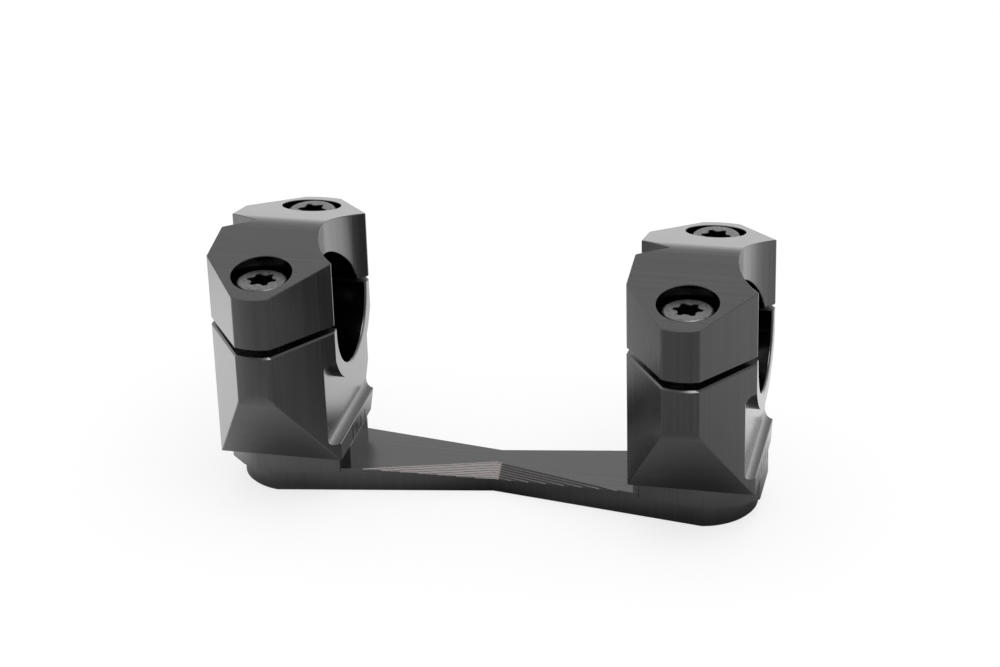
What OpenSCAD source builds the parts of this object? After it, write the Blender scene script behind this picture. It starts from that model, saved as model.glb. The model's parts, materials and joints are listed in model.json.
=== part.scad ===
// Handlebar riser set: two clamp towers standing on one bridge plate.
// X runs along the handlebar, -Y is the front, Z is up.
// The origin is the middle of the plate's underside.

/* [Handlebar] */
// Diameter of the handlebar that is clamped
bar_d = 28.6; // [27:0.1:30]
// Distance between the middles of the two towers
tower_pitch = 109.86; // [105:0.1:125]

/* [Tower] */
// Width of a tower along the handlebar
tower_w = 33.34; // [32:0.1:36]
// Height of the riser body above its pad
riser_h = 37.5; // [36:0.1:42]
// How far the handlebar's axis lies below the top of the riser body
bar_sink = 0.75; // [0.3:0.05:1.5]
// Length of the straight sides in front of the handlebar's axis
side_front = 16.88; // [15.5:0.1:17.5]
// Length of the straight sides behind the handlebar's axis
side_back = 17.3; // [15.5:0.1:18]
// Angle of the slanted facets, measured from the Y axis
facet_angle = 34.3; // [32:0.1:37]
// Distance of each clamp screw from the handlebar's axis
screw_y = 23.08; // [22.5:0.1:24.5]
// Radius of the rounded nose, about the screw's axis
nose_r = 12.2; // [11.8:0.1:13]
// Chamfer round the ends of the handlebar bore
bore_chamfer = 0.5; // [0.2:0.1:1]

/* [Riser body] */
// Front edge of the foot, in front of the handlebar's axis
foot_front = 17.2; // [16:0.1:19]
// Back edge of the foot, behind the handlebar's axis
foot_back = 12.7; // [11.9:0.1:15]
// Slope of the undercuts below the noses, from the horizontal
undercut_angle = 54.7; // [52:0.1:57]
// Radius that blends an undercut into the nose
undercut_r = 12; // [8:0.5:14]
// Depth of the pocket in the side
pocket_depth = 2.4; // [1.5:0.1:3]
// Height of the band that is left below the pocket
pocket_lip = 5; // [4:0.1:6]
// Height of the pocket's upper edge above the foot
pocket_top = 29; // [20:0.5:30]
// Radius along the pocket's upper edge
pocket_r = 1.5; // [0.5:0.1:2]
// Width of the collar that is left round the bore beside the pocket
collar_w = 4.2; // [3.5:0.1:4.6]
// Thickness of the floor under the heads of the mounting bolts
floor_t = 8.5; // [6:0.1:9]

/* [Adjustment] */
// Travel of a tower on its pad, towards the rider
travel = 8; // [4:0.5:8]
// Distance between two marks of the scale
mark_pitch = 4; // [3:0.1:4.5]
// Number of marks of the scale
mark_count = 4; // [2:1:4]
// Place of the rearmost mark, behind the handlebar's axis
mark_y = 6.5; // [5:0.1:9]
// Width of a mark
mark_w = 0.5; // [0.3:0.05:0.8]
// Length of a mark
mark_len = 3.4; // [1.5:0.1:4]
// Depth of a mark
mark_depth = 0.3; // [0.2:0.05:0.5]

/* [Cap] */
// Gap between the cap and the riser body, at the front ends of the straight sides
cap_gap = 1.7; // [1.6:0.1:2.5]
// Slope of the cap's underside, which closes the gap towards the back
under_slope = 1.6; // [0:0.1:1.6]
// Height of the cap at the front ends of its straight sides
cap_h = 17.62; // [17:0.1:20]
// Slope of the roof to the front
roof_angle = 10; // [6:0.1:12]
// Slope of the roof to the back
back_angle = 12.4; // [6:0.1:14]
// Place of the ridge, behind the handlebar's axis
ridge_y = 1.3; // [0:0.1:2]
// Radius of the ridge
ridge_r = 20; // [10:1:30]
// Depth of the scoop in the side of the cap
scoop_depth = 7.1; // [5:0.1:7.5]
// Flat that is left between the scoop and the corners
scoop_land = 0.4; // [0.2:0.1:1]
// Depth of the notch in the other side of the cap
notch_depth = 7.9; // [6:0.1:9]
// Width of the mouth of the notch
notch_w = 9; // [7:0.1:11]
// Place of the notch, behind the handlebar's axis
notch_y = 1.1; // [0:0.1:2]
// Width of the blunt tip of the notch
notch_tip = 0.4; // [0.2:0.1:1]

/* [Clamp screws] */
// Thread diameter
screw_d = 8; // [7.5:0.1:8.5]
// Length below the head
screw_len = 20; // [18:0.5:21]
// Diameter of the head
head_d = 13; // [12.5:0.1:13.5]
// Height of the head
head_h = 8; // [7:0.1:8.5]
// Depth of the head's top below the front roof, on the screw's axis
head_sink = 1.72; // [1:0.1:2.5]
// Diameter across the lobes of the socket
socket_d = 7.8; // [7:0.1:8.4]
// Depth of the socket
socket_depth = 4; // [3:0.1:5]
// Clearance between a head and its counterbore, on the radius
head_clear = 1.4; // [0.6:0.1:1.6]
// Clearance between a shank and the cap, on the radius
shank_clear = 0.3; // [0.2:0.05:0.5]
// Clearance between a thread and its hole, on the radius
thread_clear = 0.1; // [0.05:0.01:0.1]
// Depth left below the tip of a screw
tip_clear = 2; // [1:0.1:2.4]

/* [Bridge plate] */
// Thickness of the plate
plate_t = 6.75; // [5:0.05:8]
// Radius of the round lobes
lobe_r = 15.05; // [14.5:0.1:15.5]
// Half width of the waist
waist_half = 5.5; // [4.5:0.1:7]
// Diameter of the holes for the mounting bolts
bolt_hole_d = 10.5; // [8.5:0.1:12.5]
// Diameter of the heads of the mounting bolts
bolt_head_d = 16; // [14:0.1:16]
// Clearance round the head of a mounting bolt, on the radius
bolt_head_clear = 0.2; // [0.1:0.05:0.3]
// Height of the pads above the plate
pad_h = 5.25; // [4.5:0.05:8]
// How far a pad reaches past the sides of its tower
pad_margin = 0.03; // [0:0.01:0.3]
// Length of the index mark on the side of a pad
index_len = 1.6; // [1:0.1:3]
// Depth of the milled bevel at the waist
bevel_depth = 2.85; // [2:0.1:3.5]
// Distance of the bevel's upper edge from the middle of the waist
bevel_y = 1.1; // [0.5:0.1:2]
// Place along the neck where the bevel runs out
bevel_end = 38; // [30:0.5:38]
// Number of milled steps across the bevel
bevel_steps = 7; // [4:1:9]

/* [Hidden] */
$fn = 96;

// Running gap between the flat faces of a riser and its pad
slide_gap = 0.02;
// Overshoot of a cutting shape past the face that it cuts
over = 1;
// Number of flats that stand for a rounded edge
edge_steps = 8;

bore_r = bar_d / 2;
half_w = tower_w / 2;
tower_x = tower_pitch / 2;
pad_top = plate_t + pad_h;
riser_z = pad_top + slide_gap;
bore_z = riser_h - bar_sink;
cap_z = riser_h + cap_gap;
nose_y = screw_y + nose_r;
eave_z = cap_z + cap_h;
ridge_z = eave_z + (side_front + ridge_y) * tan(roof_angle);
head_top = ridge_z - (screw_y + ridge_y) * tan(roof_angle) - head_sink;
head_seat = head_top - head_h;
tip_z = head_seat - screw_len;
counterbore_r = head_d / 2 + head_clear;
head_pocket_r = bolt_head_d / 2 + bolt_head_clear;
pad_half = half_w + pad_margin;
alu_black = [0.20, 0.20, 0.21];
steel_grey = [0.45, 0.45, 0.46];

// Points of an arc about c, from angle a to angle b, in n steps
function arc(c, r, a, b, n) =
    [for (i = [0:n]) c + r * [cos(a + (b - a) * i / n), sin(a + (b - a) * i / n)]];

// Moves an outline of the YZ plane into place and gives it a width along X
module across(width) {
    rotate([90, 0, 90])
        linear_extrude(height = width, center = true)
            children();
}

// Slot along Y, with round ends about y = a and y = b
module slot(r, a, b) {
    polygon(concat(
        arc([0, b], r, 0, 180, 2 * edge_steps),
        arc([0, a], r, 180, 360, 2 * edge_steps)));
}

// Plan of a tower: straight sides, slanted facets and rounded noses
module tower_plan() {
    facet_reach = half_w / tan(facet_angle);
    shoulder_y = screw_y + nose_r / 4;
    intersection() {
        polygon([
            [half_w, -side_front], [half_w, side_back], [0, side_back + facet_reach],
            [-half_w, side_back], [-half_w, -side_front], [0, -side_front - facet_reach]]);
        union() {
            square([tower_w + 2 * over, 2 * shoulder_y], center = true);
            translate([0, screw_y])
                circle(r = nose_r);
            translate([0, -screw_y])
                circle(r = nose_r);
        }
    }
}

// Handlebar bore with its end chamfers
module bar_bore() {
    translate([0, 0, bore_z])
        rotate([0, 90, 0]) {
            cylinder(r = bore_r, h = tower_w + 2 * over, center = true);
            for (side = [0, 180])
                rotate([side, 0, 0])
                    translate([0, 0, half_w - 2 * bore_chamfer])
                        cylinder(
                            r1 = bore_r - bore_chamfer,
                            r2 = bore_r + bore_chamfer + over,
                            h = 2 * bore_chamfer + over);
        }
}

// Space cut away below a nose, for a foot that ends at y = foot
module undercut(foot) {
    edge_y = nose_y + 0.05;
    turn = 90 - undercut_angle;
    corner_z = (edge_y - foot) * tan(undercut_angle);
    centre = [edge_y - undercut_r, corner_z + undercut_r * tan(turn / 2)];
    across(tower_w + 2 * over)
        polygon(concat(
            [[foot - over / tan(undercut_angle), -over]],
            arc(centre, undercut_r, -turn, 0, edge_steps),
            [[nose_y + over, centre[1]], [nose_y + over, -over]]));
}

// Pocket in the side of a riser, with a rounded foot and a collar left round the bore
module side_pocket() {
    floor_x = half_w - pocket_depth;
    difference() {
        rotate([90, 0, 0])
            linear_extrude(height = 2 * (nose_y + over), center = true)
                polygon(concat(
                    [[half_w + over, pocket_lip]],
                    arc([half_w, pocket_lip + pocket_depth], pocket_depth, 270, 180, edge_steps),
                    arc([floor_x + pocket_r, pocket_top - pocket_r], pocket_r, 180, 90, edge_steps / 2),
                    [[half_w + over, pocket_top]]));
        translate([floor_x - over, 0, bore_z])
            rotate([0, 90, 0])
                cylinder(r = bore_r + collar_w, h = pocket_depth + 3 * over);
    }
}

// Scale marks along the foot of the side
module scale_marks() {
    for (i = [0:mark_count - 1])
        translate([half_w - mark_depth, mark_y - i * mark_pitch - mark_w / 2, -over])
            cube([mark_depth + over, mark_w, mark_len + over]);
}

// Riser body, standing on z = 0 with the handlebar's axis over y = 0
module riser_body() {
    difference() {
        linear_extrude(height = riser_h)
            tower_plan();
        bar_bore();
        undercut(foot_back);
        mirror([0, 1, 0])
            undercut(foot_front);
        side_pocket();
        scale_marks();
        translate([0, 0, -over])
            linear_extrude(height = floor_t + 2 * over)
                slot(bolt_hole_d / 2, -travel, 0);
        translate([0, 0, floor_t])
            linear_extrude(height = riser_h)
                slot(head_pocket_r, -travel, 0);
        for (side = [-1, 1])
            translate([0, side * screw_y, tip_z - tip_clear])
                cylinder(d = screw_d + 2 * thread_clear, h = riser_h);
    }
}

// Side view of the cap: a sloping underside, and two slopes that meet in a rounded ridge
module cap_profile() {
    reach = nose_y + over;
    front_drop = (reach + ridge_y) * tan(roof_angle);
    back_drop = (reach - ridge_y) * tan(back_angle);
    lean = (back_angle - roof_angle) / 2;
    to_centre = ridge_r / cos((roof_angle + back_angle) / 2);
    centre = [ridge_y - to_centre * sin(lean), ridge_z - to_centre * cos(lean)];
    under_z = cap_z - side_front * tan(under_slope);
    rise = reach * tan(under_slope);
    across(tower_w + 2 * over)
        polygon(concat(
            [[reach, under_z - rise], [reach, ridge_z - back_drop]],
            arc(centre, ridge_r, 90 - back_angle, 90 + roof_angle, edge_steps),
            [[-reach, ridge_z - front_drop], [-reach, under_z + rise]]));
}

// Round scoop down one side of the cap
module side_scoop() {
    chord = (side_front + side_back) / 2 - scoop_land;
    scoop_r = (chord * chord + scoop_depth * scoop_depth) / (2 * scoop_depth);
    translate([half_w - scoop_depth + scoop_r, (side_back - side_front) / 2, riser_h - over])
        cylinder(r = scoop_r, h = ridge_z, $fn = 160);
}

// Pointed notch down the other side of the cap
module side_notch() {
    flare = over * (notch_w - notch_tip) / 2 / notch_depth;
    translate([0, notch_y, riser_h - over])
        linear_extrude(height = ridge_z)
            polygon([
                [-half_w - over, notch_w / 2 + flare],
                [-half_w + notch_depth, notch_tip / 2],
                [-half_w + notch_depth, -notch_tip / 2],
                [-half_w - over, -notch_w / 2 - flare]]);
}

// Clamp cap, in the frame of its riser body
module clamp_cap() {
    difference() {
        intersection() {
            translate([0, 0, riser_h])
                linear_extrude(height = ridge_z)
                    tower_plan();
            cap_profile();
        }
        bar_bore();
        side_scoop();
        side_notch();
        for (side = [-1, 1])
            translate([0, side * screw_y, 0]) {
                translate([0, 0, head_seat])
                    cylinder(r = counterbore_r, h = ridge_z);
                translate([0, 0, riser_h - over])
                    cylinder(r = screw_d / 2 + shank_clear, h = cap_h);
            }
    }
}

// Outline of a six-lobe socket
module lobed_outline() {
    lobe = socket_d * 0.115;
    flute = socket_d * 0.16;
    difference() {
        union() {
            circle(r = socket_d * 0.385, $fn = 48);
            for (i = [0:5])
                rotate(60 * i)
                    translate([socket_d / 2 - lobe, 0])
                        circle(r = lobe, $fn = 24);
        }
        for (i = [0:5])
            rotate(60 * i + 30)
                translate([socket_d * 0.52, 0])
                    circle(r = flute, $fn = 24);
    }
}

// Cap-head screw, with its head resting on z = 0
module clamp_screw() {
    edge = 0.8;
    tip = 0.8;
    r = screw_d / 2;
    difference() {
        rotate_extrude()
            polygon(concat(
                [[0, -screw_len], [r - tip, -screw_len], [r, -screw_len + tip], [r, 0],
                 [head_d / 2, 0]],
                arc([head_d / 2 - edge, head_h - edge], edge, 0, 90, 4),
                [[0, head_h]]));
        translate([0, 0, head_h - socket_depth])
            linear_extrude(height = socket_depth + over)
                lobed_outline();
    }
}

// Outline of the plate: two round lobes joined by a waisted neck
module plate_outline() {
    reach = sqrt(waist_half * waist_half + tower_x * tower_x);
    lean = atan2(tower_x, waist_half) - acos(lobe_r / reach);
    touch = [tower_x - lobe_r * sin(lean), lobe_r * cos(lean)];
    polygon(concat(
        [[0, waist_half]],
        arc([-tower_x, 0], lobe_r, 90 + lean, 270 - lean, 5 * edge_steps),
        [[0, -waist_half]],
        arc([tower_x, 0], lobe_r, lean - 90, 90 - lean, 5 * edge_steps)));
}

// Outline of a pad about its own middle, with the neck towards +X
module pad_outline() {
    corner_y = lobe_r * 0.82;
    side_y = lobe_r * 0.59;
    polygon([
        [pad_half, -side_y], [pad_half, side_y],
        [pad_half * 0.87, corner_y], [pad_half * 0.16, lobe_r * 0.985],
        [0, lobe_r], [-pad_half * 0.36, lobe_r * 0.99],
        [-pad_half * 0.72, corner_y], [-pad_half, side_y * 0.88],
        [-pad_half, -side_y * 0.88], [-pad_half * 0.72, -corner_y],
        [-pad_half * 0.36, -lobe_r * 0.99], [0, -lobe_r],
        [pad_half * 0.16, -lobe_r * 0.985], [pad_half * 0.87, -corner_y]]);
}

// Index mark at the top of a pad's side, under the rearmost mark of the scale
module index_mark() {
    translate([pad_half - mark_depth, mark_y - mark_w / 2, pad_top - index_len])
        cube([mark_depth + over, mark_w, index_len + over]);
}

// Material milled away along the front edge of the neck, step by step
module milled_bevel() {
    neck_slope = (lobe_r - waist_half) / tower_x;
    end_y = waist_half + neck_slope * bevel_end;
    run = (waist_half - bevel_y) / bevel_steps;
    for (i = [0:bevel_steps - 1])
        translate([0, 0, plate_t - (i + 1) * bevel_depth / bevel_steps])
            linear_extrude(height = bevel_depth + over)
                polygon([
                    [0, -bevel_y - i * run],
                    [-bevel_end, -end_y - i * run],
                    [-bevel_end, -lobe_r - over],
                    [bevel_end, -lobe_r - over],
                    [bevel_end, -end_y - i * run]]);
}

// Bridge plate with its two pads
module bridge_plate() {
    color(alu_black)
        difference() {
            union() {
                difference() {
                    linear_extrude(height = plate_t)
                        plate_outline();
                    milled_bevel();
                }
                for (side = [0, 180])
                    rotate([0, 0, side])
                        translate([-tower_x, 0, plate_t - over])
                            linear_extrude(height = pad_h + over)
                                pad_outline();
            }
            for (side = [-1, 1])
                translate([side * tower_x, 0, 0]) {
                    translate([0, 0, -over])
                        cylinder(d = bolt_hole_d, h = pad_top + 2 * over);
                    index_mark();
                }
        }
}

// Places a piece of a tower on its pad: side is -1 on the left and 1 on the right
module on_pad(side) {
    translate([side * tower_x, 0, riser_z])
        children();
}

// Places a screw in its cap: end is -1 in front and 1 behind
module in_cap(side, end) {
    on_pad(side)
        translate([0, end * screw_y, head_seat + slide_gap])
            children();
}

module left_riser_body() {
    color(alu_black)
        on_pad(-1)
            riser_body();
}

module right_riser_body() {
    color(alu_black)
        on_pad(1)
            riser_body();
}

module left_clamp_cap() {
    color(alu_black)
        on_pad(-1)
            clamp_cap();
}

module right_clamp_cap() {
    color(alu_black)
        on_pad(1)
            clamp_cap();
}

module left_front_screw() {
    color(steel_grey)
        in_cap(-1, -1)
            clamp_screw();
}

module left_rear_screw() {
    color(steel_grey)
        in_cap(-1, 1)
            clamp_screw();
}

module right_front_screw() {
    color(steel_grey)
        in_cap(1, -1)
            clamp_screw();
}

module right_rear_screw() {
    color(steel_grey)
        in_cap(1, 1)
            clamp_screw();
}

bridge_plate();
left_riser_body();
right_riser_body();
left_clamp_cap();
right_clamp_cap();
left_front_screw();
left_rear_screw();
right_front_screw();
right_rear_screw();
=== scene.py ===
"""Looks of the handlebar riser set: two black anodised clamp towers on a bridge plate."""
import json
import math
from collections import namedtuple

import bmesh
import bpy
from mathutils import Matrix, Vector


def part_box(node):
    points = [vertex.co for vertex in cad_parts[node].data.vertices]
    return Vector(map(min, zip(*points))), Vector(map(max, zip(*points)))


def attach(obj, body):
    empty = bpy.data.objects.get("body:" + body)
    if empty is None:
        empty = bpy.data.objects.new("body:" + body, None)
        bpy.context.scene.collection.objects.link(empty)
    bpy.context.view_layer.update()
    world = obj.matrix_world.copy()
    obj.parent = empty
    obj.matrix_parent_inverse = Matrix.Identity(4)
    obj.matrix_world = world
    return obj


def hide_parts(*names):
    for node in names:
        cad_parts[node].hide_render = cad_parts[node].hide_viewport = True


MM = 0.001

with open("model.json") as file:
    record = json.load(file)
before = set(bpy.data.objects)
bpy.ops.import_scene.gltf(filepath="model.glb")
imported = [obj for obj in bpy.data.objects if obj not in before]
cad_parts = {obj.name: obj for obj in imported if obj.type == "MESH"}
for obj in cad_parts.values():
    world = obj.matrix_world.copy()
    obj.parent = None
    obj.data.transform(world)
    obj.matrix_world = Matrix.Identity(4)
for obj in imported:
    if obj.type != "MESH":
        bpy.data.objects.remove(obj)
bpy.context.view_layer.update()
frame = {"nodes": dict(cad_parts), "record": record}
RECORD = frame["record"]

# Camera, found from the photograph's edges in its frame of 1000 x 667 pixels
CAMERA_AT = Vector((152.2, -633.6, 356.89)) * MM
CAMERA_YAW = 13.367
CAMERA_PITCH = 25.640
CAMERA_ROLL = 1.675
FOCAL_PIXELS = 2762.0
IMAGE_WIDTH = 1000.0
SENSOR_MM = 36.0

# Bodies of the nodes
BODY_OF = {node: body for body, nodes in RECORD["behaviour"]["bodies"].items() for node in nodes}

# Places in the CAD; the neck's top edges are milled down in steps
SCREW_LOW, SCREW_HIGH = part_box("right_rear_screw")
TOWER_X = (SCREW_LOW.x + SCREW_HIGH.x) / 2
SCREW_Y = (SCREW_LOW.y + SCREW_HIGH.y) / 2
SCREW_TOP = SCREW_HIGH.z
BORE_Z = RECORD["mounts"][0]["pos_m"][2]
BORE_R = RECORD["mounts"][0]["dims"]["r_mm"] * MM
COUNTERBORE_R = 7.9 * MM
PLATE_TOP = 6.75 * MM
BEVEL_DEPTH = 2.85 * MM
BEVEL_STEPS = 7
BEVEL_STEP = BEVEL_DEPTH / BEVEL_STEPS
BELOW_STEPS = PLATE_TOP - 3.0 * MM

# Clamp screws; over one turn the thread's groove is GROOVE_MIDDLE less GROOVE_FLANK times the
# distance from its middle, kept between 0 and 1 of its depth
SCREW_R = 4.0 * MM
HEAD_H = 8.0 * MM
SOCKET_R = 3.95 * MM
SOCKET_RIM = 0.25 * MM
SOCKET_DEPTH = 7.0 * MM
THREAD_PITCH = 1.25 * MM
THREAD_DEPTH = 0.55 * MM
THREAD_STEPS = 8
THREAD_RUN_IN = 2 * THREAD_PITCH
GROOVE_MIDDLE = 1.25
GROOVE_FLANK = 3.0

# Cleaning of the meshes; a point this near to a face's height lies on it
SEAM = 0.002 * MM
FLAT_ANGLE = 0.6
EDGE_ANGLE = 24.0
ON_FACE = 0.05 * MM

# Widths of the softened edges, and the share that one may take of an edge beside it, where the
# two turn off from each other by more than ROOM_ANGLE
SPLIT_EDGE = 0.45 * MM
CORNER_EDGE = 0.50 * MM
ROOF_EDGE = 0.30 * MM
PLAIN_EDGE = 0.22 * MM
FINE_EDGE = 0.12 * MM
ROOM_SHARE = 0.45
ROOM_ANGLE = 35.0

# What tells the edges of a riser body, a cap and the plate apart
UPRIGHT_SHARE = 0.9
HOLE_REACH = 5.0 * MM
BORE_REACH = 15.0 * MM
SCALE_MARK = 3.6 * MM
SCALE_TOP = 8.0 * MM
COLLAR_IN = BORE_R + 3.0 * MM
COLLAR_OUT = BORE_R + 5.5 * MM
RIM_REACH = 10.0 * MM
RIM_ABOVE = 5.0 * MM
NOSE_Y = 32.0 * MM
INDEX_MARK = 1.7 * MM

# Anodised aluminium: milling lines run up the walls and along X on level faces
LINES_ON_WALLS = (1300, 1300, 9)
LINES_ON_TOPS = (8, 1500, 1500)
LINE_DETAIL = 2.0
LINE_DEPTH = 0.02 * MM
LINE_STRENGTH = (0.8, 0.2)
LEVEL_RANGE = (0.25, 0.60)
METAL_TONES = ((0.3, 0.190), (0.7, 0.215))
METAL_ROUGHNESS = (0.22, 0.30)
COAT = {"Coat Weight": 0.5, "Coat Roughness": 0.14, "Coat IOR": 1.5}
WALL_BELOW = 0.2
# Painted shade: nearly black in the bar's bore and on the counterbores' walls
HOLE_SHADE = (0.008, 0.008, 0.008, 1)

# The neck's milled steps: a painted highlight on the left half, and painted shade on the treads
# of the right half
TREAD_ABOVE = 0.5
FOOT_FROM = 0.8
HIGHLIGHT_UP_TO = 1.3 * MM
HIGHLIGHT_STEP = (1.0, 0.95, 0.95, 1)
HIGHLIGHT_HALF_ROUGHNESS = 0.45
SHADED_HALF_FACE = (1.0, 0.97, 0.97, 1)
SHADED_HALF_TREAD = (0.23, 0.225, 0.225, 1)
STEP_FOOT = (0.06, 0.055, 0.055, 1)

# Plated screw steel
MOTTLE_SCALE = 1500.0
MOTTLE_DETAIL = 4.0
MOTTLE_DEPTH = 0.03 * MM
MOTTLE_STRENGTH = 0.25
SCREW_TONES = ((0.35, 0.26), (0.65, 0.50))
SCREW_ROUGHNESS = (0.30, 0.50)
# Painted shade: the socket nearly black below its rim
SOCKET_SHADE = (0.03, 0.03, 0.03, 1)

# Studio as reflections find it: brightness by height, and less of it away from the bright side
WHITE = (1, 1, 1, 1)
SKY_BY_HEIGHT = ((0.0, 0.95), (0.15, 0.90), (0.42, 0.46), (0.7, 0.44), (1.0, 0.25))
BRIGHT_SIDE = (-0.55, 0.83, 0.0)
SIDE_RANGE = (-0.6, 0.3)
SIDE_SHARES = (0.25, 1.0)

# Floor: its colour, the share of plain white in it that the camera sees, the share of its own
# light in reflections, and its brightness there by compass angle from +X
FLOOR_SIZE = 6.0
FLOOR_TONE = (0.95, 0.95, 0.95, 1)
FLOOR_WHITE = 0.72
FLOOR_GLOW = 0.5
FLOOR_ROUND = (
    (-180, 1.0),
    (-174, 1.0),
    (-162, 0.44),
    (-135, 0.30),
    (-112, 0.20),
    (-60, 0.18),
    (-40, 0.20),
    (-30, 0.28),
    (-16, 0.24),
    (-4, 0.34),
    (8, 0.42),
    (20, 0.60),
    (28, 0.95),
    (40, 1.0),
    (122, 1.0),
    (134, 0.40),
    (150, 0.34),
    (157, 1.0),
    (180, 1.0),
)

# Shade on the floor in reflections: close round the plate's outline, which is two round lobes
# and a neck that flares from its waist, and a soft patch behind the neck
LOBE_R = 17.6 * MM
WAIST_HALF = 6.0 * MM
NECK_FLARE = 0.2
NECK_END = 50.0 * MM
CONTACT_REACH = 13.0 * MM
CONTACT_SHADES = (0.28, 1.0)
PATCH_AT = (-0.014, 0.012, 0.0)
PATCH_REACH = (0.036, 0.022, 1.0)
PATCH_RANGE = (0.6, 1.2)
PATCH_SHADES = (0.05, 1.0)

# Key lamp
KEY_AT = Vector((0.33, -0.32, 0.90))
KEY_AIM = Vector((0.0, 0.0, 0.03))
KEY_SIZE = 0.5
KEY_WATTS = 1.8


class Nodes:
    """A material's or world's node tree, emptied, with short makers for the nodes used here.

    A value is a socket of another node, or a plain number, vector or colour."""

    def __init__(self, owner):
        owner.use_nodes = True
        self.tree = owner.node_tree
        self.tree.nodes.clear()

    def feed(self, socket, value):
        """Links a socket to another node's, or sets it."""
        if isinstance(value, bpy.types.NodeSocket):
            self.tree.links.new(value, socket)
        else:
            socket.default_value = value

    def add(self, kind, sockets=None, **settings):
        """A node with its settings made and its named sockets fed."""
        node = self.tree.nodes.new(kind)
        for key, value in settings.items():
            setattr(node, key, value)
        for key, value in (sockets or {}).items():
            self.feed(node.inputs[key], value)
        return node

    def feed_in_order(self, node, values):
        for socket, value in zip(node.inputs, values):
            self.feed(socket, value)

    def maths(self, operation, *values):
        node = self.add("ShaderNodeMath", operation=operation)
        self.feed_in_order(node, values)
        return node.outputs[0]

    def vector(self, operation, *values):
        node = self.add("ShaderNodeVectorMath", operation=operation)
        self.feed_in_order(node, values)
        gives_number = operation in ("LENGTH", "DISTANCE", "DOT_PRODUCT")
        return node.outputs["Value" if gives_number else "Vector"]

    def axis(self, vector, name):
        """One coordinate of a vector."""
        return self.add("ShaderNodeSeparateXYZ", {"Vector": vector}).outputs[name]

    def mapped(self, value, source, target=(0.0, 1.0), clamp=True):
        """A value brought from one range to another."""
        ends = ("From Min", "From Max", "To Min", "To Max")
        sockets = dict(zip(ends, (*source, *target)), Value=value)
        return self.add("ShaderNodeMapRange", sockets, clamp=clamp).outputs["Result"]

    def ramp(self, value, stops):
        """A grey by a value, through (value, grey) stops."""
        node = self.add("ShaderNodeValToRGB", {"Fac": value})
        marks = node.color_ramp.elements
        while len(marks) < len(stops):
            marks.new(0.5)
        for mark, (place, grey) in zip(marks, stops):
            mark.position = place
            mark.color = (grey, grey, grey, 1)
        return node.outputs["Color"]

    def stretched(self, place, scale):
        """A place with each of its axes scaled."""
        return self.add("ShaderNodeMapping", {"Vector": place, "Scale": scale}).outputs["Vector"]

    def noise(self, place, scale, detail):
        sockets = {"Vector": place, "Scale": scale, "Detail": detail}
        return self.add("ShaderNodeTexNoise", sockets).outputs["Fac"]

    def mixed(self, share, first, second, data_type="RGBA"):
        """A colour, or a number with data_type FLOAT, between two others by a share."""
        sockets = {"Factor": share, "A": first, "B": second}
        return self.add("ShaderNodeMix", sockets, data_type=data_type).outputs["Result"]

    def mixed_shaders(self, share, first, second):
        node = self.add("ShaderNodeMixShader")
        self.feed_in_order(node, (share, first, second))
        return node.outputs[0]

    def light(self, kind, colour, strength):
        """An emission or background shader."""
        return self.add(kind, {"Color": colour, "Strength": strength}).outputs[0]

    def inside_hole(self, place, centre, across, radius):
        """1 within a radius of a hole's axis, else 0, for all holes that mirror that one."""
        folded = self.vector("ABSOLUTE", place)
        centred = self.vector("SUBTRACT", folded, centre)
        flat = self.vector("MULTIPLY", centred, across)
        return self.maths("LESS_THAN", self.vector("LENGTH", flat), radius)

    def metal(self, colour, roughness, relief, coat=None):
        """A metal surface whose relief is a height, a strength and a depth."""
        heights = dict(zip(("Height", "Strength", "Distance"), relief))
        sockets = {
            "Metallic": 1.0,
            "Base Color": colour,
            "Roughness": roughness,
            "Normal": self.add("ShaderNodeBump", heights).outputs["Normal"],
            **(coat or {}),
        }
        shader = self.add("ShaderNodeBsdfPrincipled", sockets)
        self.add("ShaderNodeOutputMaterial", {"Surface": shader.outputs["BSDF"]})


def step_looks(nodes, place, facing_up, roughness):
    """Colour and roughness of the neck's milled steps, with a painted highlight on the left half
    and painted shade on the right half's treads.

    Each step's foot is a dark line, and the rest of its face shines like its tread."""
    is_tread = nodes.maths("GREATER_THAN", facing_up, TREAD_ABOVE)
    is_face = nodes.maths("SUBTRACT", 1.0, is_tread)
    one_step = (PLATE_TOP, PLATE_TOP - BEVEL_STEP)
    steps_down = nodes.mapped(nodes.axis(place, "Z"), one_step, clamp=False)
    is_low = nodes.maths("GREATER_THAN", nodes.maths("FRACT", steps_down), FOOT_FROM)
    foot = nodes.maths("MULTIPLY", is_low, is_face)

    # Painted highlight on the left half; painted shade on the right half's treads
    highlight_half = nodes.maths("LESS_THAN", nodes.axis(place, "X"), HIGHLIGHT_UP_TO)
    shaded_half = nodes.mixed(is_tread, SHADED_HALF_FACE, SHADED_HALF_TREAD)
    painted_light = nodes.mixed(highlight_half, shaded_half, HIGHLIGHT_STEP)
    colour = nodes.mixed(foot, painted_light, STEP_FOOT)
    return colour, nodes.mixed(highlight_half, roughness, HIGHLIGHT_HALF_ROUGHNESS, data_type="FLOAT")


def shade_in_holes(nodes, place, levelness, tone):
    """The metal's tone, with painted shade, nearly black, in the bar's bore and on the
    counterbores' walls.
    """
    bore = nodes.inside_hole(place, (0, 0, BORE_Z), (0, 1, 1), BORE_R + ON_FACE)
    screw_axis = (TOWER_X, SCREW_Y, 0)
    counterbore = nodes.inside_hole(place, screw_axis, (1, 1, 0), COUNTERBORE_R + ON_FACE)
    is_wall = nodes.maths("LESS_THAN", levelness, WALL_BELOW)
    wall = nodes.maths("MULTIPLY", counterbore, is_wall)
    # Painted shade in the bore and on the counterbores' walls
    return nodes.mixed(nodes.maths("MAXIMUM", bore, wall), tone, HOLE_SHADE)


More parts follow.
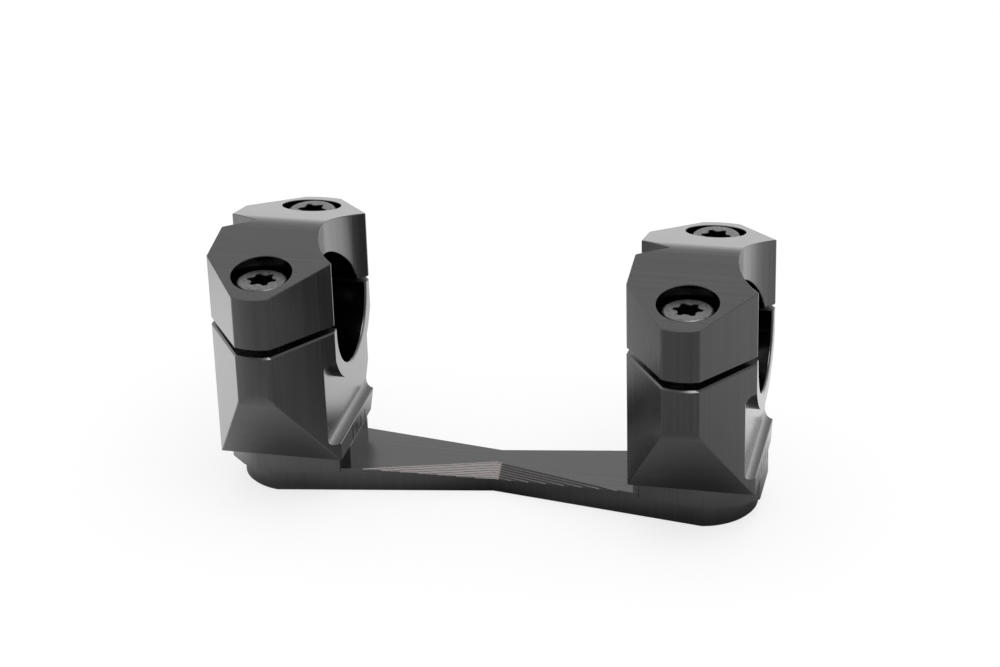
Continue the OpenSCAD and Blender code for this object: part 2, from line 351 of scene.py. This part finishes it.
def anodised_material(name, terraced=False):
    """Black anodised aluminium with fine milling lines."""
    material = bpy.data.materials.new(name)
    nodes = Nodes(material)
    place = nodes.add("ShaderNodeTexCoord").outputs["Object"]
    normal = nodes.add("ShaderNodeNewGeometry").outputs["True Normal"]
    facing_up = nodes.axis(normal, "Z")
    levelness = nodes.maths("ABSOLUTE", facing_up)
    level = nodes.mapped(levelness, LEVEL_RANGE)
    on_walls = nodes.noise(nodes.stretched(place, LINES_ON_WALLS), 1.0, LINE_DETAIL)
    on_tops = nodes.noise(nodes.stretched(place, LINES_ON_TOPS), 1.0, LINE_DETAIL)
    lines = nodes.mixed(level, on_walls, on_tops, data_type="FLOAT")

    tone = nodes.ramp(lines, METAL_TONES)
    roughness = nodes.mapped(lines, (0.0, 1.0), METAL_ROUGHNESS)
    if terraced:
        tone, roughness = step_looks(nodes, place, facing_up, roughness)
    else:
        # The plain metal gets painted shade in its holes
        tone = shade_in_holes(nodes, place, levelness, tone)
    strength = nodes.mapped(level, (0.0, 1.0), LINE_STRENGTH)
    nodes.metal(tone, roughness, (lines, strength, LINE_DEPTH), COAT)
    return material


def screw_material():
    """Dark plated steel with a mottled surface and painted shade, nearly black, in its socket."""
    material = bpy.data.materials.new("screw_steel")
    nodes = Nodes(material)
    place = nodes.add("ShaderNodeTexCoord").outputs["Object"]
    mottle = nodes.noise(place, MOTTLE_SCALE, MOTTLE_DETAIL)
    tone = nodes.ramp(mottle, SCREW_TONES)

    # Painted shade inside the socket, below its rim and above its floor
    inside = nodes.inside_hole(place, (TOWER_X, SCREW_Y, 0), (1, 1, 0), SOCKET_R)
    height = nodes.axis(place, "Z")
    below_rim = nodes.maths("LESS_THAN", height, SCREW_TOP - SOCKET_RIM)
    above_floor = nodes.maths("GREATER_THAN", height, SCREW_TOP - SOCKET_DEPTH)
    socket = nodes.maths("MULTIPLY", inside, nodes.maths("MULTIPLY", below_rim, above_floor))
    colour = nodes.mixed(socket, tone, SOCKET_SHADE)

    roughness = nodes.mapped(mottle, (0.0, 1.0), SCREW_ROUGHNESS)
    nodes.metal(colour, roughness, (mottle, MOTTLE_STRENGTH, MOTTLE_DEPTH))
    return material


def smooth_shading_group(angle):
    """Geometry nodes that shade smooth, with edges sharper than the angle kept sharp."""
    group = bpy.data.node_groups.new("smooth_by_angle", "GeometryNodeTree")
    for direction in ("INPUT", "OUTPUT"):
        group.interface.new_socket("Geometry", in_out=direction, socket_type="NodeSocketGeometry")
    start = group.nodes.new("NodeGroupInput")
    end = group.nodes.new("NodeGroupOutput")
    edge_angle = group.nodes.new("GeometryNodeInputMeshEdgeAngle")
    compare = group.nodes.new("FunctionNodeCompare")
    compare.data_type = "FLOAT"
    compare.operation = "LESS_THAN"
    compare.inputs["B"].default_value = math.radians(angle)
    faces = group.nodes.new("GeometryNodeSetShadeSmooth")
    faces.domain = "FACE"
    edges = group.nodes.new("GeometryNodeSetShadeSmooth")
    edges.domain = "EDGE"
    group.links.new(start.outputs[0], faces.inputs["Geometry"])
    group.links.new(faces.outputs["Geometry"], edges.inputs["Geometry"])
    group.links.new(edge_angle.outputs["Unsigned Angle"], compare.inputs["A"])
    group.links.new(compare.outputs["Result"], edges.inputs["Shade Smooth"])
    group.links.new(edges.outputs["Geometry"], end.inputs[0])
    return group


Edge = namedtuple("Edge", "y from_screw from_bore low high length upright concave")


def measure(edge):
    """Where an edge lies on its tower, and which way it runs."""
    tower_x = math.copysign(TOWER_X, edge.verts[0].co.x)
    ends = [Vector((vert.co.x - tower_x, vert.co.y, vert.co.z)) for vert in edge.verts]
    run = ends[1] - ends[0]
    return Edge(
        y=max(abs(end.y) for end in ends),
        from_screw=max(math.hypot(end.x, abs(end.y) - SCREW_Y) for end in ends),
        from_bore=max(math.hypot(end.y, end.z - BORE_Z) for end in ends),
        low=min(end.z for end in ends),
        high=max(end.z for end in ends),
        length=run.length,
        upright=abs(run.z) > UPRIGHT_SHARE * run.length,
        concave=not edge.is_convex,
    )


def riser_edge(edge, low, high):
    """Width of an edge of a riser body, whose scale marks and collar stay sharp."""
    if edge.low > high.z - ON_FACE:
        near_hole = edge.from_screw < HOLE_REACH or edge.y < BORE_REACH
        return FINE_EDGE if near_hole else SPLIT_EDGE
    is_mark = edge.length < SCALE_MARK and edge.high < low.z + SCALE_TOP
    on_collar = COLLAR_IN < edge.from_bore < COLLAR_OUT and not edge.upright
    return 0.0 if edge.concave or is_mark or on_collar else PLAIN_EDGE


def cap_edge(edge, low, high):
    """Width of an edge of a clamp cap."""
    if edge.concave:
        return 0.0
    if edge.upright:
        return CORNER_EDGE
    by_screw = edge.from_screw < RIM_REACH and edge.y < NOSE_Y
    return PLAIN_EDGE if by_screw and edge.low > low.z + RIM_ABOVE else ROOF_EDGE


def plate_edge(edge, low, high):
    """Width of an edge of the bridge plate, whose milled steps and index marks stay sharp."""
    if edge.low > high.z - ON_FACE:
        return ROOF_EDGE
    on_top = abs(edge.low - PLATE_TOP) < ON_FACE and abs(edge.high - PLATE_TOP) < ON_FACE
    on_pad_wall = edge.low > PLATE_TOP + ON_FACE and edge.high < high.z - ON_FACE
    is_mark = on_pad_wall and edge.length < INDEX_MARK
    if edge.concave or on_top or is_mark:
        return 0.0
    if edge.high < ON_FACE:
        return SPLIT_EDGE
    return PLAIN_EDGE if edge.upright else 0.0


def room(edge):
    """The widest softening that the faces on both sides of an edge have room for."""
    widest = math.inf
    for loop in edge.link_loops:
        following = loop.link_loop_next
        for corner, beside in ((loop, loop.link_loop_prev), (following, following)):
            turn = math.pi - corner.calc_angle()
            if abs(turn) > math.radians(ROOM_ANGLE):
                widest = min(widest, ROOM_SHARE * beside.edge.calc_length() * abs(math.sin(turn)))
    return widest


def cleaned(node):
    """A copy of a node's mesh with its seams joined and its flat faces whole."""
    mesh = bmesh.new()
    mesh.from_mesh(node.data)
    bmesh.ops.remove_doubles(mesh, verts=mesh.verts, dist=SEAM)
    limit = math.radians(FLAT_ANGLE)
    bmesh.ops.dissolve_limit(mesh, angle_limit=limit, verts=mesh.verts, edges=mesh.edges)
    return mesh


def set_widths(mesh, rule, low, high):
    """Gives each sharp edge the width that its piece's rule and the room beside it allow."""
    widths = mesh.edges.layers.float.new("bevel_weight_edge")
    for edge in mesh.edges:
        if len(edge.link_faces) == 2 and edge.calc_face_angle() > math.radians(EDGE_ANGLE):
            wanted = rule(measure(edge), low, high)
            edge[widths] = min(wanted, room(edge)) / MM if wanted else 0.0


def cut_thread(mesh, low, high):
    """Turns a screw's plain shank into a threaded one of the same size."""
    middle = (low + high) / 2
    under_head = high.z - HEAD_H

    def on_shank(vert):
        radius = math.hypot(vert.co.x - middle.x, vert.co.y - middle.y)
        return radius < SCREW_R + ON_FACE and vert.co.z < under_head + ON_FACE

    def angle_of(vert):
        return math.atan2(vert.co.y - middle.y, vert.co.x - middle.x)

    shank = [face for face in mesh.faces if all(on_shank(vert) for vert in face.verts)]
    bmesh.ops.delete(mesh, geom=shank, context="FACES")
    last = sorted((vert for vert in mesh.verts if vert.is_boundary), key=angle_of)
    angles = [angle_of(vert) for vert in last]
    length = under_head - low.z
    rings = int(length / THREAD_PITCH * THREAD_STEPS)
    for ring in range(1, rings + 1):
        down = length * ring / rings
        deepest = THREAD_DEPTH * min(1, down / THREAD_RUN_IN)
        tip = max(0, down - length + THREAD_PITCH)
        verts = []
        for angle in angles:
            phase = (down / THREAD_PITCH + angle / math.tau) % 1
            groove = min(1, max(0, GROOVE_MIDDLE - GROOVE_FLANK * abs(phase - 0.5)))
            radius = min(SCREW_R - deepest * groove, SCREW_R - tip)
            x = middle.x + radius * math.cos(angle)
            y = middle.y + radius * math.sin(angle)
            verts.append(mesh.verts.new((x, y, under_head - down)))
        for i, vert in enumerate(verts):
            mesh.faces.new((last[i - 1], last[i], vert, verts[i - 1]))
        last = verts
    mesh.faces.new(last)
    bmesh.ops.recalc_face_normals(mesh, faces=mesh.faces)


def mark_steps(data):
    """Gives the faces of the neck's milled steps the plate's second material."""
    for face in data.polygons:
        heights = [data.vertices[i].co.z for i in face.vertices]
        reaches_down = BELOW_STEPS < min(heights) < PLATE_TOP - ON_FACE
        if reaches_down and max(heights) < PLATE_TOP + ON_FACE:
            face.material_index = 1


def finish_piece(name, node, materials, rule, segments):
    """A finished copy of a node: softened edges, smooth round faces and its materials."""
    low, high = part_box(name)
    mesh = cleaned(node)
    if rule:
        set_widths(mesh, rule, low, high)
    else:
        cut_thread(mesh, low, high)
    data = bpy.data.meshes.new(name + "_finished")
    mesh.to_mesh(data)
    mesh.free()
    for material in materials:
        data.materials.append(material)
    if len(materials) > 1:
        mark_steps(data)
    piece = bpy.data.objects.new(name + "_finished", data)
    bpy.context.scene.collection.objects.link(piece)

    if rule:
        bevel = piece.modifiers.new("edges", "BEVEL")
        bevel.width = MM
        bevel.segments = segments
        bevel.limit_method = "WEIGHT"
        bevel.use_clamp_overlap = False
    shade = piece.modifiers.new("shade", "NODES")
    shade.node_group = SMOOTH
    flat = piece.modifiers.new("flat_normals", "WEIGHTED_NORMAL")
    flat.mode = "FACE_AREA"
    flat.weight = 100
    flat.keep_sharp = True

    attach(piece, BODY_OF[name])
    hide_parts(name)


def make_camera():
    """The photograph's camera."""
    data = bpy.data.cameras.new("camera")
    data.sensor_width = SENSOR_MM
    data.lens = FOCAL_PIXELS * SENSOR_MM / IMAGE_WIDTH
    camera = bpy.data.objects.new("camera", data)
    turn = (
        Matrix.Rotation(math.radians(CAMERA_YAW), 4, "Z")
        @ Matrix.Rotation(math.radians(90 - CAMERA_PITCH), 4, "X")
        @ Matrix.Rotation(math.radians(-CAMERA_ROLL), 4, "Z")
    )
    camera.matrix_world = Matrix.Translation(CAMERA_AT) @ turn
    bpy.context.scene.collection.objects.link(camera)
    bpy.context.scene.camera = camera


def ray_kinds(nodes):
    """1 for a camera or transmission ray, else 0, and 1 for a glossy ray, else 0."""
    rays = nodes.add("ShaderNodeLightPath").outputs
    seen = nodes.maths("MAXIMUM", rays["Is Camera Ray"], rays["Is Transmission Ray"])
    return seen, rays["Is Glossy Ray"]


def make_world():
    """Plain white for the camera, glass and soft light, and a shaded studio in reflections."""
    world = bpy.data.worlds.new("studio")
    bpy.context.scene.world = world
    nodes = Nodes(world)
    seen, glossy = ray_kinds(nodes)
    towards = nodes.add("ShaderNodeTexCoord").outputs["Generated"]
    by_height = nodes.ramp(nodes.axis(towards, "Z"), SKY_BY_HEIGHT)
    aside = nodes.vector("DOT_PRODUCT", towards, BRIGHT_SIDE)
    by_side = nodes.mapped(aside, SIDE_RANGE, SIDE_SHARES)

    plain = nodes.light("ShaderNodeBackground", WHITE, 1.0)
    studio = nodes.light("ShaderNodeBackground", by_height, by_side)
    lit = nodes.mixed_shaders(glossy, plain, studio)
    surface = nodes.mixed_shaders(seen, lit, plain)
    nodes.add("ShaderNodeOutputWorld", {"Surface": surface})


def mirrored_floor(nodes):
    """Brightness of the floor in reflections: light at the left and behind, dark in front."""
    place = nodes.add("ShaderNodeTexCoord").outputs["Object"]
    angle = nodes.maths("ARCTAN2", nodes.axis(place, "Y"), nodes.axis(place, "X"))
    turn = nodes.mapped(angle, (-math.pi, math.pi))
    around = nodes.ramp(turn, [((degrees + 180) / 360, grey) for degrees, grey in FLOOR_ROUND])

    folded = nodes.vector("ABSOLUTE", place)
    off_lobe = nodes.maths("SUBTRACT", nodes.vector("DISTANCE", folded, (TOWER_X, 0, 0)), LOBE_R)
    off_flare = nodes.vector("DOT_PRODUCT", folded, (-NECK_FLARE, 1, 0))
    off_side = nodes.maths("SUBTRACT", off_flare, WAIST_HALF)
    off_end = nodes.maths("SUBTRACT", nodes.axis(folded, "X"), NECK_END)
    off_neck = nodes.maths("MAXIMUM", off_side, off_end)
    off_plate = nodes.maths("MINIMUM", off_lobe, off_neck)
    contact = nodes.mapped(off_plate, (0.0, CONTACT_REACH), CONTACT_SHADES)

    from_patch = nodes.vector("SUBTRACT", place, PATCH_AT)
    squashed = nodes.vector("DIVIDE", from_patch, PATCH_REACH)
    patch = nodes.mapped(nodes.vector("LENGTH", squashed), PATCH_RANGE, PATCH_SHADES)
    return nodes.maths("MULTIPLY", around, nodes.maths("MULTIPLY", contact, patch))


def make_floor():
    """A white floor that keeps the part's soft shadow and is shaded in reflections."""
    bpy.ops.mesh.primitive_plane_add(size=FLOOR_SIZE, location=(0, 0, 0))
    floor = bpy.context.object
    floor.name = "floor"
    material = bpy.data.materials.new("floor_white")
    nodes = Nodes(material)
    seen, glossy = ray_kinds(nodes)
    matt = nodes.add("ShaderNodeBsdfDiffuse", {"Color": FLOOR_TONE}).outputs[0]
    white = nodes.light("ShaderNodeEmission", WHITE, 1.0)
    plain = nodes.mixed_shaders(nodes.maths("MULTIPLY", seen, FLOOR_WHITE), matt, white)

    brightness = mirrored_floor(nodes)
    lit = nodes.add("ShaderNodeBsdfDiffuse", {"Color": brightness}).outputs[0]
    glow = nodes.light("ShaderNodeEmission", WHITE, brightness)
    mirrored = nodes.mixed_shaders(FLOOR_GLOW, lit, glow)
    surface = nodes.mixed_shaders(glossy, plain, mirrored)
    nodes.add("ShaderNodeOutputMaterial", {"Surface": surface})
    floor.data.materials.append(material)


def make_key_lamp():
    """A soft square lamp above the part's right front."""
    data = bpy.data.lights.new("key", "AREA")
    data.shape = "SQUARE"
    data.size = KEY_SIZE
    data.energy = KEY_WATTS
    lamp = bpy.data.objects.new("key", data)
    lamp.location = KEY_AT
    lamp.rotation_euler = (KEY_AIM - KEY_AT).to_track_quat("-Z", "Y").to_euler()
    bpy.context.scene.collection.objects.link(lamp)


make_camera()
make_world()
make_floor()
make_key_lamp()

ANODISED = anodised_material("anodised_aluminium")
TERRACED = anodised_material("terraced_aluminium", terraced=True)
SCREW = screw_material()
SMOOTH = smooth_shading_group(EDGE_ANGLE)

# Ending of the node's name, materials, rule for the widths of its edges, and their segments. A
# screw has no rule, because its head is rounded in the CAD, and its shank gets a thread instead
KINDS = (
    ("_riser_body", (ANODISED,), riser_edge, 1),
    ("_clamp_cap", (ANODISED,), cap_edge, 2),
    ("_plate", (ANODISED, TERRACED), plate_edge, 1),
    ("_screw", (SCREW,), None, 0),
)

for name, node in frame["nodes"].items():
    for ending, materials, rule, segments in KINDS:
        if name.endswith(ending):
            finish_piece(name, node, materials, rule, segments)

bpy.context.scene.view_settings.view_transform = "Standard"
